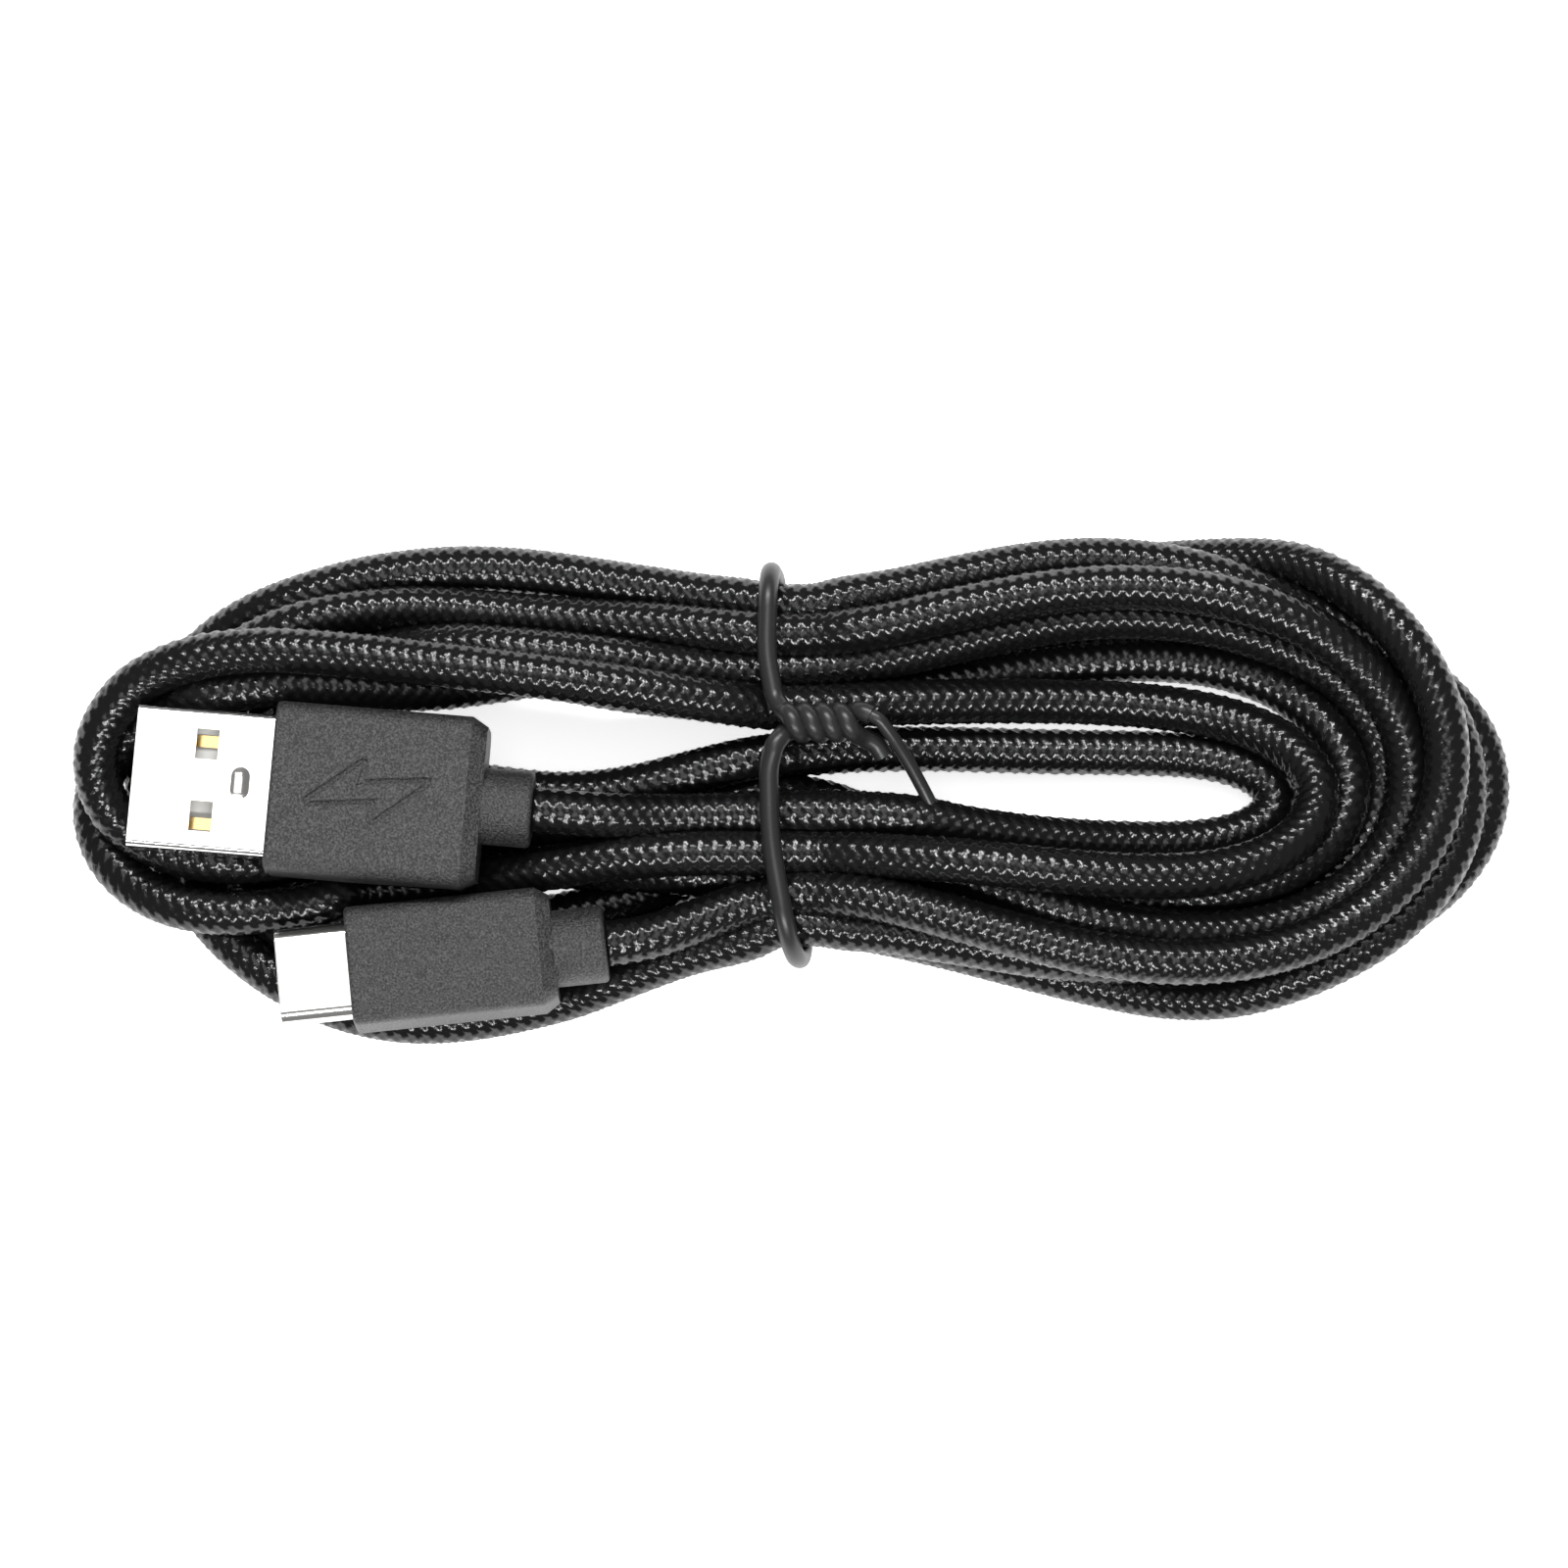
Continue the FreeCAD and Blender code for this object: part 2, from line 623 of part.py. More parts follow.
def usb_c_latch_spring():
    """The flat middle plate whose two arms hold the socket's tongue."""
    half = c_inside_width / 2 - c_latch_margin
    z = (-c_latch_thickness / 2, c_latch_thickness / 2)
    x = (c_nose + c_latch_ends[0], c_shell_rear + c_latch_ends[1])
    plate = block(x, (-half, half), z)
    middle = half - c_latch_arm
    return one(plate.cut(block((x[0], x[1] - c_latch_bridge), (-middle, middle), z)))


def usb_c_ground_springs():
    """The thin plates above and below the housing, near the mouth."""
    x = (c_nose + c_ground_ends[0], c_nose + c_ground_ends[1])
    y = (-c_ground_width / 2, c_ground_width / 2)
    top = c_inside_height / 2 - 0.2 * can_clearance
    upper = block(x, y, (top - c_ground_thickness, top))
    lower = block(x, y, (-top, c_ground_thickness - top))
    return [upper, lower]


def usb_c_housing(inside):
    """The black insert that fills the shell round the slot."""
    gap = can_clearance / 2
    face = c_nose + c_insert_inset
    body = bar((face, c_shell_rear), c_inside_width - 2 * gap, c_inside_height - 2 * gap,
               c_inside_height / 2 - gap)
    slot = bar((c_nose, face + c_slot_depth), c_slot_width, c_slot_height, 0.3)
    return one(without(body, [slot, *inside]))


def usb_c_plug():
    """Every piece of the USB-C plug, on the plug's own axis."""
    upper = usb_c_contact_solids(1)
    lower = usb_c_contact_solids(-1)
    latch = without(usb_c_latch_spring(), upper + lower)
    springs = usb_c_ground_springs()
    shell = usb_c_shell()
    housing = usb_c_housing([*upper, *lower, latch, *springs])
    board_x = (c_shell_rear, c_shell_rear + c_board_length)
    board = bar(board_x, c_inside_width - 2 * c_board_margin, c_board_thickness, 0.05)
    length, width, height = c_resistor_size
    near = board_x[0] + c_resistor_from_shell
    resistor = block((near, near + length), (-width / 2, width / 2),
                     (c_board_thickness / 2, c_board_thickness / 2 + height))
    solder_z = c_board_thickness / 2 + wire_diameter / 2 + can_clearance / 2
    solder_x = board_x[1] - c_solder_from_end
    spots = [(sy * c_solder_side, sz * solder_z) for sy, sz in ((-1, 1), (-1, -1), (1, -1), (1, 1))]
    lines = wires(solder_x, spots)
    lumps = [without(lump, [board, *lines]) for lump in solder_joints(solder_x, spots)]
    end = jacket_end()
    lines = [line.cut(end) for line in lines]
    can = rear_can((c_can_front, c_can_rear), c_can_width, c_can_height, c_can_corner,
                   -c_neck_length + crimp_overlap)
    held = [board, resistor, housing, *upper, *lower, *lines, *lumps, end]
    filled = bar((c_nose, c_shell_rear), c_shell_width, c_shell_height, c_shell_height / 2)
    inner = bar((c_can_front, c_can_rear - can_wall), c_can_width - 2 * can_wall,
                c_can_height - 2 * can_wall, c_can_corner - can_wall)
    inner = one(without(inner, [filled, *held, can]))
    sleeve = neck(c_neck_diameter, c_neck_length).cut(can)
    outer = overmould(c_mould_length, c_mould_width, c_mould_height, c_mould_corner,
                      c_neck_length, c_rear_taper)
    core = bar((c_can_front, c_can_rear), c_can_width, c_can_height, c_can_corner)
    bore = rod((c_can_rear - can_clearance, 1), c_neck_diameter - flange_step)
    outer = outer.cut(core).cut(filled).cut(bore)
    return {
        "usb_c_shell": shell,
        "usb_c_contact_housing": housing,
        "usb_c_contacts_upper": group(upper),
        "usb_c_contacts_lower": group(lower),
        "usb_c_latch_spring": one(latch),
        "usb_c_ground_springs": group(springs),
        "usb_c_circuit_board": one(board),
        "usb_c_resistor": resistor,
        "usb_c_rear_shield": can,
        "usb_c_inner_mould": inner,
        "usb_c_overmould": one(outer),
        "usb_c_strain_relief": one(sleeve),
        "usb_c_jacket_end": end,
        "usb_c_wire_red": one(lines[0]),
        "usb_c_wire_white": one(lines[1]),
        "usb_c_wire_green": one(lines[2]),
        "usb_c_wire_black": one(lines[3]),
        "usb_c_solder": group(lumps),
    }


# ---- assembly ----------------------------------------------------------------------------
def cable_parts():
    """Every node of the cable, by name, in its place."""
    core = tie_core()
    lead_a = tube(lead_a_route, cord_diameter, "cord_lead_a")
    lead_c = tube(lead_c_route, cord_diameter, "cord_lead_c")
    parts = {
        "cord_hank": cord_hank([lead_a, lead_c]),
        "cord_lead_a": lead_a,
        "cord_lead_c": lead_c,
        "tie_wire_core": core,
        "tie_sheath": tie_sheath(core),
    }
    for name, shape in usb_a_plug().items():
        parts[name] = placed(shape, a_exit, a_yaw)
    for name, shape in usb_c_plug().items():
        parts[name] = placed(shape, c_exit, c_yaw, c_roll)
    return parts


os.makedirs("parts", exist_ok=True)
whole = FreeCAD.BoundBox()
for node, solid in cable_parts().items():
    solid.exportStep(f"parts/{node}.step")
    whole.add(solid.BoundBox)
print("whole cable:", whole)
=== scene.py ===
"""Looks of the charging cable: the wound braided cord, and the materials of every piece.

Metres, in the CAD's own frame. The cord is one line from plug to plug, cut where it passes the
tie into three pieces: each free lead with the loop it runs into, and the winding between them.
"""

import json
import math

import bpy
import numpy as np
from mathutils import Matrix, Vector


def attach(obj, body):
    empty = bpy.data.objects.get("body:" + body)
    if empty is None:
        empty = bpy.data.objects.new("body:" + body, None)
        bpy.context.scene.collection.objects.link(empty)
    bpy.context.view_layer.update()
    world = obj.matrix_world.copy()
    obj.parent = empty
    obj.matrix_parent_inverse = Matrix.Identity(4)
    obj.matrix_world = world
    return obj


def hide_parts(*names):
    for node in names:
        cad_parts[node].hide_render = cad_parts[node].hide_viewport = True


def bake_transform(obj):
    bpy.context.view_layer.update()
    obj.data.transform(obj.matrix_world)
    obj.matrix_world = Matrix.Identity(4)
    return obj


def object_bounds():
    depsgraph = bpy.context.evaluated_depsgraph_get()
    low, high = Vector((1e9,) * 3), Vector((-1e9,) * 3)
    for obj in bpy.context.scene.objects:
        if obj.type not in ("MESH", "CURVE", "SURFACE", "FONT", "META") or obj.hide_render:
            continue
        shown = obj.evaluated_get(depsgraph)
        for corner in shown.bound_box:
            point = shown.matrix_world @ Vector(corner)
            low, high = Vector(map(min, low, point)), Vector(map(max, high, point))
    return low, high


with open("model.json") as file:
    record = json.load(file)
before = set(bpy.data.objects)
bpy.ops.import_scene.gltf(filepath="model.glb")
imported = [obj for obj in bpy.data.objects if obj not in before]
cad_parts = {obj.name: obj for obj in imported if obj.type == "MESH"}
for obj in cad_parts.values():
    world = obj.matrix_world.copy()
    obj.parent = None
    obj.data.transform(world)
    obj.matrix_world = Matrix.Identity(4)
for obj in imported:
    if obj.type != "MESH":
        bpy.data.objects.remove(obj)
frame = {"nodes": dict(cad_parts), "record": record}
cad_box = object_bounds()
nodes = frame["nodes"]

MM = 0.001
CORD = 3.8 * MM
RADIUS = CORD / 2
LAYER = 3.4 * MM              # height that a second layer adds, lying in the grooves

# ---- winding: the places where the cord passes the tie, as (y, height) -----------------------
SLOTS = {
    "a": (-2.7, 7.3), "b": (2.4, 6.6), "c": (10.0, 7.4), "d": (0.3, 4.0), "e": (7.6, 4.0),
    "f": (-8.0, 4.0), "g": (7.0, 8.1), "h": (-6.2, 7.3), "i": (11.3, 4.0), "j": (-12.0, 5.0),
    "k": (15.0, 7.3), "l": (-11.6, 4.0), "m": (12.9, 8.0), "n": (-4.2, 4.0), "o": (15.1, 4.0),
    "p": (-9.7, 7.3),
}

# Each half turn from slot to slot: its turning points as (x, y, layer), where the middle one
# that is furthest from the tie is its reach, and how full its bend is before and after that.
HALF_TURNS = [
    ("a", [(20, -4.7, 1), (35, -4.6, 1), (42.6, -0.9, 1), (34, 2.8, 1), (8, 3.4, 1)], 3, 3),
    ("b", [(-20, -1.3, 0), (-32, 0.8, 0), (-42.8, 5.8, 0), (-36, 11.2, 1)], 2.1, 2.1),
    ("c", [(28, 14.6, 1), (50.6, 1.5, 0.3), (35, -11.5, 0), (7, -4.6, 0)], 2.1, 2.1),
    ("d", [(-20, -4.6, 0), (-32, -2.6, 0.4), (-46.5, 3.2, 0.2), (-37, 11.2, 0)], 2.1, 2.0),
    ("e", [(30, 11.3, 0.6), (48.6, 0.5, 0.7), (30, -9.9, 0.3)], 2.1, 2.1),
    ("f", [(-30, -5.9, 0), (-46, -7.0, 0.8), (-60.0, 1.8, 1.2), (-47.5, 10.7, 2)], 2.3, 2.0),
    ("g", [(24, 7.3, 1), (45.9, -0.8, 1), (31, -8.3, 1)], 2.1, 2.1),
    ("h", [(-13, -5.6, 1), (-27, -9.0, 0.5), (-46, -11.3, 1), (-60.4, -1.5, 0.2), (-44, 7.9, 1)], 2.3, 2.0),
    ("i", [(32, 15.6, 0), (60.2, 0.5, 0), (31, -15.6, 0)], 2.0, 2.1),
    ("j", [(-33, -20.4, 0), (-56.2, 2.5, 0), (-28, 18.8, 1)], 1.7, 1.75),
    ("k", [(25, 19.4, 1), (57.6, 0, 0.5), (33, -17.4, 0.3)], 2.05, 2.1),
    ("l", [(-33, -16.6, 0), (-53.0, 4.5, 0.6), (-36, 14.8, 1)], 1.7, 2.0),
    ("m", [(28, 16.6, 1), (52.9, 0.5, 1), (33, -13.1, 1)], 2.1, 2.1),
    ("n", [(-14, -9.9, 0), (-31, -12.9, 0), (-49.8, 6, 0), (-31, 18.7, 0)], 2.0, 2.0),
    ("o", [(33, 19.4, 0.6), (55.6, 2, 1.7), (33, -15.6, 1.2)], 2.1, 2.1),
]
STEPS = 5                     # points in each stretch between turning points
RESOLUTION = 8                # points of the smooth line for each point of the route

# ---- settling: the winding as a chain of beads, moved a little in each round ------------------
ROUNDS = 400
SEARCH_EVERY = 20             # rounds between searches for beads that are near each other
SEARCH_REACH = 3.0 * MM       # past a cord's width, in that search
BEAD = 2.0 * MM               # spacing of the beads
HELD_AT_A = 10                # beads that stay where the free leads put them
HELD_AT_C = 8
APART = 0.97 * CORD           # that crossing strands keep, as the braid gives a little
NEIGHBOURS = 2.2 * CORD       # along the chain, within which beads don't push each other
FALL = 0.02 * MM              # in the first round, less in each later one
RETURN = 0.12                 # share of the way back to the route, in plan
BENDING = [(3, 0.04), (1, 0.1)]  # beads to each side, and how strongly they straighten
STRETCH = 0.25                # share of a link's error that each of its ends takes up
PUSH = 0.5                    # share of an overlap that is undone in a pass
PUSHES = 2                    # passes in each round
TIE_HALF_WIDTH = 3.0 * MM     # of the stretch that the tie holds
TIE_LIFT = 2.0 * MM           # that the tie below lifts the strands
TIE_SIDES = (-12.0 * MM, 15.1 * MM)
TIE_TOP = 8.1 * MM

# ---- free leads: the same points as the CAD's ------------------------------------------------
A_LEAD = [(-0.0221, -0.0026, 0.0096), (-0.01851, -0.0029, 0.0096), (-0.015, -0.00305, 0.00902),
          (-0.0116, -0.003, 0.0079), (-0.0081, -0.00285, 0.0074), (-0.0046, -0.0027, 0.0073)]
C_LEAD = [(-0.0046, -0.0104, 0.0073), (-0.0077, -0.01165, 0.0076), (-0.0106, -0.01275, 0.00795),
          (-0.01331, -0.01353, 0.00817), (-0.0159, -0.0138, 0.00817)]

# ---- plugs: where the cord leaves, the turn about Z in degrees, and the sleeve's and the
# moulding's (start, end, half width, half height), in millimetres along the plug's own axis ----
PLUGS = [
    ((-0.0221, -0.0026, 0.0096), -4.8, [(-33.7, -22.0, 6.0, 2.25), (-22.0, -4.2, 7.2, 4.0)]),
    ((-0.0159, -0.0138, 0.00817), 6.0, [(-27.8, -21.7, 4.2, 1.8), (-21.7, -4.4, 5.2, 3.8)]),
]

# ---- braid -----------------------------------------------------------------------------------
YARNS = 8                     # each way round the cord
FILAMENTS = 6                 # that show across a yarn
PITCH = 1.15 * MM             # along the cord, from one yarn to the next
RELIEF = 0.26 * MM            # from the lowest point between yarns to their tops
MEAN_HEIGHT = 0.6             # of the relief, that lies at the cord's own radius
RING_STEP = 0.3 * MM          # between the tube's rings
SIDES = 36                    # of each ring


# ---- camera, light and floor -----------------------------------------------------------------
def camera():
    """Nearly straight down on the hank, from the USB-C plug's side."""
    elevation = math.radians(84)
    distance = 0.5
    shown_width = 0.1336      # of the view, at the target
    target = Vector((-0.0009, 0.0001, 0.005))
    data = bpy.data.cameras.new("camera")
    data.sensor_width = 36
    data.lens = data.sensor_width * distance / shown_width
    data.clip_start = 0.01
    made = bpy.data.objects.new("camera", data)
    made.location = target + distance * Vector((0, -math.cos(elevation), math.sin(elevation)))
    made.rotation_euler = (math.pi / 2 - elevation, 0, 0)
    bpy.context.scene.collection.objects.link(made)
    bpy.context.scene.camera = made


def lamp(name, place, size, power):
    """A rectangular soft lamp aimed at the hank."""
    data = bpy.data.lights.new(name, "AREA")
    data.shape = "RECTANGLE"
    data.size, data.size_y = size
    data.energy = power
    made = bpy.data.objects.new(name, data)
    made.location = place
    made.rotation_euler = (-Vector(place)).to_track_quat("-Z", "Y").to_euler()
    bpy.context.scene.collection.objects.link(made)


def lights():
    """White surroundings, a strip of light on each long side, and a wide lamp above."""
    lamp("lamp_far", (0.0, 0.27, 0.42), (0.30, 0.025), 1.8)
    lamp("lamp_near", (0.0, -0.32, 0.42), (0.30, 0.025), 1.8)
    lamp("lamp_above", (0.0, 0.05, 0.80), (0.40, 0.40), 1.1)
    world = bpy.data.worlds.new("surroundings")
    world.use_nodes = True
    background = world.node_tree.nodes["Background"]
    background.inputs["Color"].default_value = (1, 1, 1, 1)
    background.inputs["Strength"].default_value = 0.22
    bpy.context.scene.world = world
    bpy.context.scene.view_settings.view_transform = "Standard"


def floor():
    """The plain white surface that the cable lies on."""
    half = 1.5
    below = 0.1 * MM
    glow = 0.78
    mesh = bpy.data.meshes.new("floor")
    mesh.from_pydata([(-half, -half, 0), (half, -half, 0), (half, half, 0), (-half, half, 0)], [],
                     [(0, 1, 2, 3)])
    made = bpy.data.objects.new("floor", mesh)
    bpy.context.scene.collection.objects.link(made)
    made.location.z = cad_box[0][2] - below
    white = plain("floor_white", (0.95, 0.95, 0.95), 0.8)
    shader_of(white).inputs["Emission Color"].default_value = (1, 1, 1, 1)
    shader_of(white).inputs["Emission Strength"].default_value = glow
    mesh.materials.append(white)


# ---- materials -------------------------------------------------------------------------------
def plain(name, colour, roughness, metallic=0.0):
    """A material of one colour, with its shader ready for more nodes."""
    made = bpy.data.materials.new(name)
    made.use_nodes = True
    shader = made.node_tree.nodes["Principled BSDF"]
    shader.inputs["Base Color"].default_value = (*colour, 1)
    shader.inputs["Roughness"].default_value = roughness
    shader.inputs["Metallic"].default_value = metallic
    return made


def add(material, kind, **settings):
    """A new node in the material's tree."""
    node = material.node_tree.nodes.new(kind)
    for name, value in settings.items():
        setattr(node, name, value)
    return node


def math_node(material, operation, first, second=None):
    """A maths node's result, from sockets or numbers."""
    node = add(material, "ShaderNodeMath", operation=operation)
    for socket, value in zip(node.inputs, (first, second)):
        if value is None:
            continue
        if isinstance(value, (int, float)):
            socket.default_value = value
        else:
            material.node_tree.links.new(value, socket)
    return node.outputs[0]


def shader_of(material):
    """The material's surface shader."""
    return material.node_tree.nodes["Principled BSDF"]


def bump(material, height, strength, distance):
    """Roughens the surface by a height, over that distance in metres."""
    node = add(material, "ShaderNodeBump")
    node.inputs["Strength"].default_value = strength
    node.inputs["Distance"].default_value = distance
    material.node_tree.links.new(height, node.inputs["Height"])
    material.node_tree.links.new(node.outputs["Normal"], shader_of(material).inputs["Normal"])


def noise(material, scale, detail=2.0):
    """A noise pattern fixed to the object, with its scale in cells a metre."""
    place = add(material, "ShaderNodeTexCoord")
    pattern = add(material, "ShaderNodeTexNoise")
    pattern.inputs["Scale"].default_value = scale
    pattern.inputs["Detail"].default_value = detail
    material.node_tree.links.new(place.outputs["Object"], pattern.inputs["Vector"])
    return pattern.outputs["Fac"]


def braid_material():
    """Black nylon braid: yarns of fine filaments crossing over and under."""
    made = plain("braid", (0.005, 0.005, 0.0055), roughness=0.18)
    shader_of(made).inputs["Specular IOR Level"].default_value = 0.4
    place = add(made, "ShaderNodeUVMap", uv_map="cord")
    parts = add(made, "ShaderNodeSeparateXYZ")
    made.node_tree.links.new(place.outputs["UV"], parts.inputs["Vector"])
    along = parts.outputs["X"]
    around = math_node(made, "MULTIPLY", parts.outputs["Y"], YARNS)
    first = math_node(made, "ADD", around, along)
    second = math_node(made, "SUBTRACT", around, along)
    heights = []
    filaments = []
    for own, other, sign in ((first, second, 1), (second, first, -1)):
        index = math_node(made, "FLOOR", own)
        across = math_node(made, "SUBTRACT", math_node(made, "SUBTRACT", own, index), 0.5)
        phase = math_node(made, "ADD", math_node(made, "SUBTRACT", other, 0.5), index)
        wave = math_node(made, "COSINE", math_node(made, "MULTIPLY", phase, math.pi))
        over = math_node(made, "MULTIPLY_ADD", wave, 0.5 * sign)
        over.node.inputs[2].default_value = 0.5
        ridge = math_node(made, "COSINE", math_node(made, "MULTIPLY", across, math.pi))
        heights.append(math_node(made, "MULTIPLY", ridge, over))
        turns = math_node(made, "MULTIPLY", across, 2 * math.pi * FILAMENTS)
        filaments.append(math_node(made, "SINE", turns))
    higher = math_node(made, "GREATER_THAN", heights[0], heights[1])
    chosen = add(made, "ShaderNodeMix")
    made.node_tree.links.new(higher, chosen.inputs[0])
    made.node_tree.links.new(filaments[1], chosen.inputs[2])
    made.node_tree.links.new(filaments[0], chosen.inputs[3])
    yarn = math_node(made, "MAXIMUM", *heights)
    filament_height = 0.05
    fine = math_node(made, "MULTIPLY", chosen.outputs[0], filament_height)
    bump(made, math_node(made, "ADD", yarn, fine), strength=0.35, distance=0.10 * MM)
    return made


def spark_eroded(name, colour):
    """Black plastic with the fine grain that a spark-eroded mould leaves, paler on its peaks."""
    made = plain(name, colour, roughness=0.42)
    grain = noise(made, scale=6000, detail=3.0)
    bump(made, grain, strength=1.0, distance=0.12 * MM)
    shade = add(made, "ShaderNodeMapRange")
    levels = {"From Min": 0.40, "From Max": 0.70, "To Min": 0.006, "To Max": 0.085}
    for socket, value in levels.items():
        shade.inputs[socket].default_value = value
    made.node_tree.links.new(grain, shade.inputs["Value"])
    made.node_tree.links.new(shade.outputs["Result"], shader_of(made).inputs["Base Color"])
    return made


def plated(name, colour, roughness):
    """A plated metal, with faint rolling marks."""
    made = plain(name, colour, roughness, metallic=1.0)
    bump(made, noise(made, scale=1500, detail=4.0), strength=0.08, distance=0.01 * MM)
    return made


def moulded(name, colour, roughness, grain=2500):
    """A smooth moulded plastic."""
    made = plain(name, colour, roughness)
    bump(made, noise(made, grain), strength=0.15, distance=0.02 * MM)
    return made


def materials():
    """Every material, by the record's slot."""
    black = (0.018, 0.018, 0.019)
    return {
        "braid": braid_material(),
        "overmould": spark_eroded("overmould", (0.022, 0.022, 0.023)),
        "tie_coat": moulded("tie_coat", black, 0.36, 4000),
        "steel_wire": plated("steel_wire", (0.55, 0.55, 0.55), 0.35),
        "nickel": plated("nickel", (0.86, 0.85, 0.83), 0.14),
        "tinplate": plated("tinplate", (0.62, 0.62, 0.60), 0.35),
        "white_plastic": moulded("white_plastic", (0.82, 0.82, 0.80), 0.4),
        "black_plastic": moulded("black_plastic", black, 0.4),
        "gold": plated("gold", (0.92, 0.66, 0.28), 0.2),
        "inner_mould": moulded("inner_mould", (0.7, 0.69, 0.64), 0.5),
        "jacket": moulded("jacket", black, 0.5),
        "board": moulded("board", (0.01, 0.1, 0.045), 0.35),
        "solder": plated("solder", (0.66, 0.67, 0.68), 0.3),
        "wire_red": moulded("wire_red", (0.45, 0.02, 0.02), 0.45),
        "wire_white": moulded("wire_white", (0.75, 0.75, 0.74), 0.45),
        "wire_green": moulded("wire_green", (0.02, 0.28, 0.07), 0.45),
        "wire_black": moulded("wire_black", black, 0.45),
    }


# ---- the cord's line -------------------------------------------------------------------------
def smooth(t):
    """A value from 0 to 1 that starts and ends level."""
    return t * t * (3 - 2 * t)


def stretch(start, end, fullness, leaving_reach, reach):
    """Points between two turning points, up to the second: an S where both lie along the hank,
    and a quarter of a full oval where one of them is the reach."""
    points = []
    for i in range(1, STEPS + 1):
        t = i / STEPS
        if start is reach or end is reach:
            angle = math.pi / 2 * t
            far = math.cos(angle) if leaving_reach else math.sin(angle)
            high = math.sin(angle) if leaving_reach else math.cos(angle)
            wide, level = (start, end) if leaving_reach else (end, start)
            x = level[0] + (wide[0] - level[0]) * far ** (2 / fullness)
            y = wide[1] + (level[1] - wide[1]) * high ** (2 / fullness)
        else:
            x = start[0] + (end[0] - start[0]) * t
            y = start[1] + (end[1] - start[1]) * smooth(t)
        z = start[2] + (end[2] - start[2]) * smooth(t)
        points.append((x, y, z))
    return points


def half_turn(start, turning, end, before, after):
    """One half turn of the winding, from just after a slot up to the next slot."""
    heights = [(x * MM, y * MM, RADIUS + layer * LAYER) for x, y, layer in turning]
    chain = [start, *heights, end]
    reach = max(chain, key=lambda p: abs(p[0]))
    points = []
    for first, second in zip(chain, chain[1:]):
        fullness = before if second is reach else after
        points += stretch(first, second, fullness, first is reach, reach)
    return points


def route():
    """The whole cord from plug to plug, before it settles."""
    slots = {name: (0.0, y * MM, z * MM) for name, (y, z) in SLOTS.items()}
    names = [row[0] for row in HALF_TURNS] + ["p"]
    points = [*A_LEAD, slots["a"]]
    for (name, turning, before, after), following in zip(HALF_TURNS, names[1:]):
        points += half_turn(slots[name], turning, slots[following], before, after)
    return points + C_LEAD


def spline(points):
    """The smooth line of a NURBS curve that follows its control points."""
    data = bpy.data.curves.new("line", "CURVE")
    data.dimensions = "3D"
    data.resolution_u = RESOLUTION
    line = data.splines.new("NURBS")
    line.points.add(len(points) - 1)
    for point, place in zip(line.points, points):
        point.co = (*place, 1)
    line.order_u = 3
    line.use_endpoint_u = True
    holder = bpy.data.objects.new("line", data)
    bpy.context.scene.collection.objects.link(holder)
    bpy.context.view_layer.update()
    mesh = bpy.data.meshes.new_from_object(holder)
    places = np.array([v.co for v in mesh.vertices], float)
    bpy.data.objects.remove(holder)
    bpy.data.meshes.remove(mesh)
    return places


def distances(line):
    """How far along the line each of its points is."""
    return np.concatenate([[0], np.cumsum(np.linalg.norm(np.diff(line, axis=0), axis=1))])


def evenly(line, step):
    """Points at equal steps along a line."""
    along = distances(line)
    wanted = np.linspace(0, along[-1], round(along[-1] / step) + 1)
    return np.column_stack([np.interp(wanted, along, line[:, axis]) for axis in range(3)])


def clear_of_plugs(beads):
    """Moves beads that touch a plug's blocks out of them, by the shortest way."""
    for place, yaw, blocks in PLUGS:
        angle = math.radians(yaw)
        turn = np.array([[math.cos(angle), -math.sin(angle), 0],
                         [math.sin(angle), math.cos(angle), 0], [0, 0, 1]])
        local = (beads - place) @ turn
        for start, end, half_width, half_height in blocks:
            half = np.array([(end - start) / 2, half_width, half_height]) * MM + RADIUS
            offset = local - np.array([(start + end) / 2, 0, 0]) * MM
            inside = half - np.abs(offset)
            deep = np.nonzero((inside > 0).all(axis=1))[0]
            axis = inside[deep].argmin(axis=1)
            shift = np.where(offset[deep, axis] > 0, 1, -1) * inside[deep, axis]
            local[deep, axis] += PUSH * shift
        beads = local @ turn.T + place
    return beads


def straighten(beads, reach, stiffness):
    """Moves each bead towards the gentlest bend through the beads that far to each side."""
    before = np.repeat(beads[:1], reach, 0)
    after = np.repeat(beads[-1:], reach, 0)
    ended = np.vstack([before, beads, after])
    curl = ended[:-2 * reach] - 2 * ended[reach:-reach] + ended[2 * reach:]
    still = np.zeros((reach, 3))
    curl = np.vstack([still, curl, still])
    return beads - stiffness * (curl[:-2 * reach] - 2 * curl[reach:-reach] + curl[2 * reach:])


def keep_spacing(beads, spacing):
    """Pulls neighbouring beads towards their own spacing."""
    links = np.diff(beads, axis=0)
    long = np.linalg.norm(links, axis=1)
    pull = (STRETCH * (long - spacing) / long)[:, None] * links
    beads[:-1] += pull
    beads[1:] -= pull
    return beads


def push_apart(beads, one, two):
    """Moves the beads of each near pair apart, where they are less than a cord from each other."""
    gap = beads[one] - beads[two]
    size = np.linalg.norm(gap, axis=1)
    hit = np.nonzero(size < APART)[0]
    share = (PUSH * (APART - size[hit]) / size[hit])[:, None] * gap[hit]
    push = np.zeros_like(beads)
    hits = np.zeros(len(beads))
    for index, sign in ((one, 1), (two, -1)):
        np.add.at(push, index[hit], sign * share)
        np.add.at(hits, index[hit], 1)
    return beads + push / np.maximum(hits, 1)[:, None]


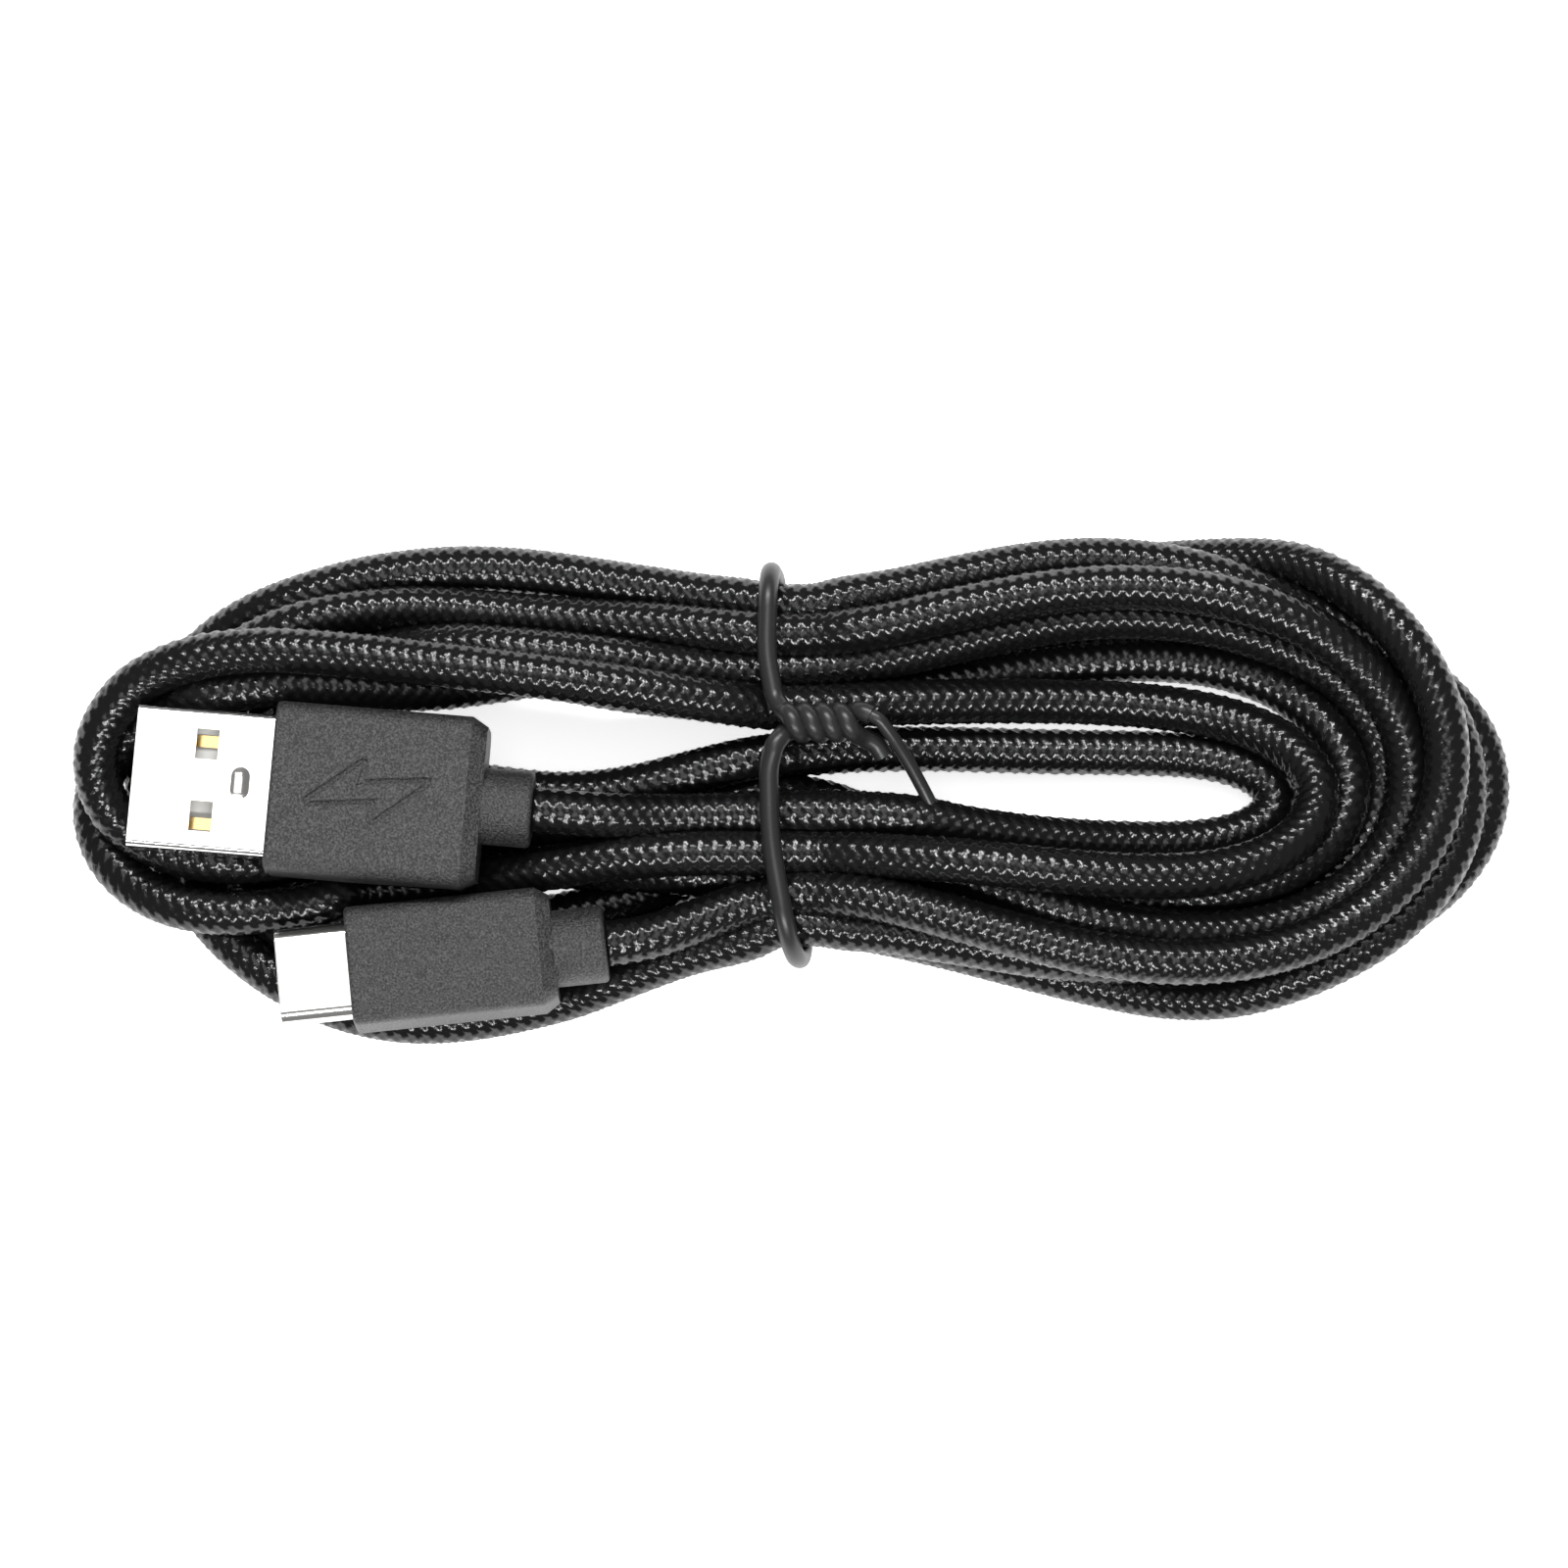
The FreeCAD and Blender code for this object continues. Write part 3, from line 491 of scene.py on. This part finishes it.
def settle(beads, rounds):
    """Lets the winding fall and rest on itself: beads keep their spacing, bend gently, stay a
    cord apart from each other, and stay inside the tie where they pass it."""
    first = beads.copy()
    spacing = np.linalg.norm(np.diff(beads, axis=0), axis=1)
    neighbours = math.ceil(NEIGHBOURS / BEAD)
    tied = np.abs(first[:, 0]) < TIE_HALF_WIDTH
    lowest = np.where(tied, RADIUS + TIE_LIFT, RADIUS)
    for turn in range(rounds):
        if turn % SEARCH_EVERY == 0:
            gaps = np.linalg.norm(beads[:, None] - beads[None], axis=2)
            near = np.triu(gaps < CORD + SEARCH_REACH, neighbours)
            one, two = np.nonzero(near)
        beads[:, 2] -= FALL * (1 - turn / rounds)
        beads[:, :2] += RETURN * (first[:, :2] - beads[:, :2])
        for reach, stiffness in BENDING:
            beads = straighten(beads, reach, stiffness)
        beads = keep_spacing(beads, spacing)
        for _ in range(PUSHES):
            beads = push_apart(beads, one, two)
        beads = clear_of_plugs(beads)
        beads[:, 2] = np.maximum(beads[:, 2], lowest)
        beads[tied, 1] = np.clip(beads[tied, 1], *TIE_SIDES)
        beads[tied, 2] = np.minimum(beads[tied, 2], TIE_TOP)
        beads[:HELD_AT_A] = first[:HELD_AT_A]
        beads[-HELD_AT_C:] = first[-HELD_AT_C:]
    return beads


# ---- the cord's mesh -------------------------------------------------------------------------
def weave(along, around):
    """The braid's height, from 0 to 1: along in pitches, around in yarns."""
    first = around + along
    second = around - along
    heights = []
    for own, other, sign in ((first, second, 1), (second, first, -1)):
        index = np.floor(own)
        over = 0.5 + 0.5 * sign * np.cos(math.pi * (other - 0.5 + index))
        heights.append(np.cos(math.pi * (own - index - 0.5)) * over)
    return np.maximum(*heights)


def sideways(line):
    """At each point of a line, two directions across it that turn as little as they can."""
    ahead = np.gradient(line, axis=0)
    ahead /= np.linalg.norm(ahead, axis=1)[:, None]
    side = np.cross(ahead[0], (0, 0, 1))
    sides = []
    for direction in ahead:
        side = side - direction * side.dot(direction)
        side /= np.linalg.norm(side)
        sides.append(side)
    sides = np.array(sides)
    return sides, np.cross(ahead, sides)


def braided_tube(name, line, start):
    """A tube of crossing yarns along a line that starts that far along the whole cord."""
    rings = len(line)
    side, up = sideways(line)
    along = ((start + distances(line)) / PITCH)[:, None]
    around = (np.arange(SIDES) / SIDES)[None]
    height = weave(along, YARNS * around)
    reach = RADIUS + RELIEF * (height - MEAN_HEIGHT)
    angle = 2 * math.pi * around
    across = (np.cos(angle) * reach)[..., None] * side[:, None]
    upward = (np.sin(angle) * reach)[..., None] * up[:, None]
    places = (line[:, None] + across + upward).reshape(-1, 3)
    ring = np.arange(rings - 1)[:, None] * SIDES
    here = np.arange(SIDES)[None]
    there = (here + 1) % SIDES
    quads = np.stack([ring + here, ring + there, ring + SIDES + there, ring + SIDES + here], -1)
    quads = quads.reshape(-1, 4).tolist()
    last = (rings - 1) * SIDES
    caps = [list(range(SIDES))[::-1], list(range(last, last + SIDES))]
    mesh = bpy.data.meshes.new(name)
    mesh.from_pydata(places.tolist(), [], quads + caps)
    mesh.shade_smooth()
    corner_along = np.repeat(along[:-1], SIDES, 1)
    next_along = np.repeat(along[1:], SIDES, 1)
    corner_around = np.repeat(around, rings - 1, 0)
    next_around = corner_around + 1 / SIDES
    u = np.stack([corner_along, corner_along, next_along, next_along], -1).reshape(-1)
    v = np.stack([corner_around, next_around, next_around, corner_around], -1).reshape(-1)
    uv = np.zeros((len(mesh.loops), 2))
    uv[:len(u), 0] = u
    uv[:len(v), 1] = v
    mesh.uv_layers.new(name="cord").data.foreach_set("uv", uv.reshape(-1))
    made = bpy.data.objects.new(name, mesh)
    bpy.context.scene.collection.objects.link(made)
    return made


def tie_passages(line):
    """Where a line crosses the tie's plane, x = 0, as indices of its points."""
    side = line[:, 0] > 0
    return np.nonzero(side[1:] != side[:-1])[0] + 1


def cord_pieces(braid):
    """The three pieces of cord, each a braided tube along its own stretch of the line, its braid counted
    from where that stretch starts along the whole cord.
    """
    beads = evenly(spline(route()), BEAD)
    beads = settle(beads, ROUNDS)
    line = evenly(spline(beads), RING_STEP)
    passages = tie_passages(line)
    cuts = [0, passages[1], passages[-2], len(line) - 1]
    along = distances(line)
    replaced = {
        "cord_lead_a_loop": "cord_lead_a",
        "cord_winding": "cord_hank",
        "cord_lead_c_loop": "cord_lead_c",
    }
    pieces = []
    for (name, stood_for), start, end in zip(replaced.items(), cuts, cuts[1:]):
        part = line[start:end + 1]
        made = braided_tube(name, part, along[start])
        made.data.materials.append(braid)
        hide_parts(stood_for)
        pieces.append(made)
    a_loop, winding, c_loop = pieces
    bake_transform(a_loop)
    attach(winding, "cable")
    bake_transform(c_loop)
    print("cord length", round(along[-1], 3), "metres, passages", len(passages))


def finish_cad(made):
    """Gives every CAD node the material of its slot."""
    slots = {part["node"]: part["material_slot"] for part in frame["record"]["subparts"]}
    for name, node in nodes.items():
        node.data.materials.clear()
        node.data.materials.append(made[slots[name]])


camera()
lights()
floor()
finishes = materials()
cord_pieces(finishes["braid"])
finish_cad(finishes)
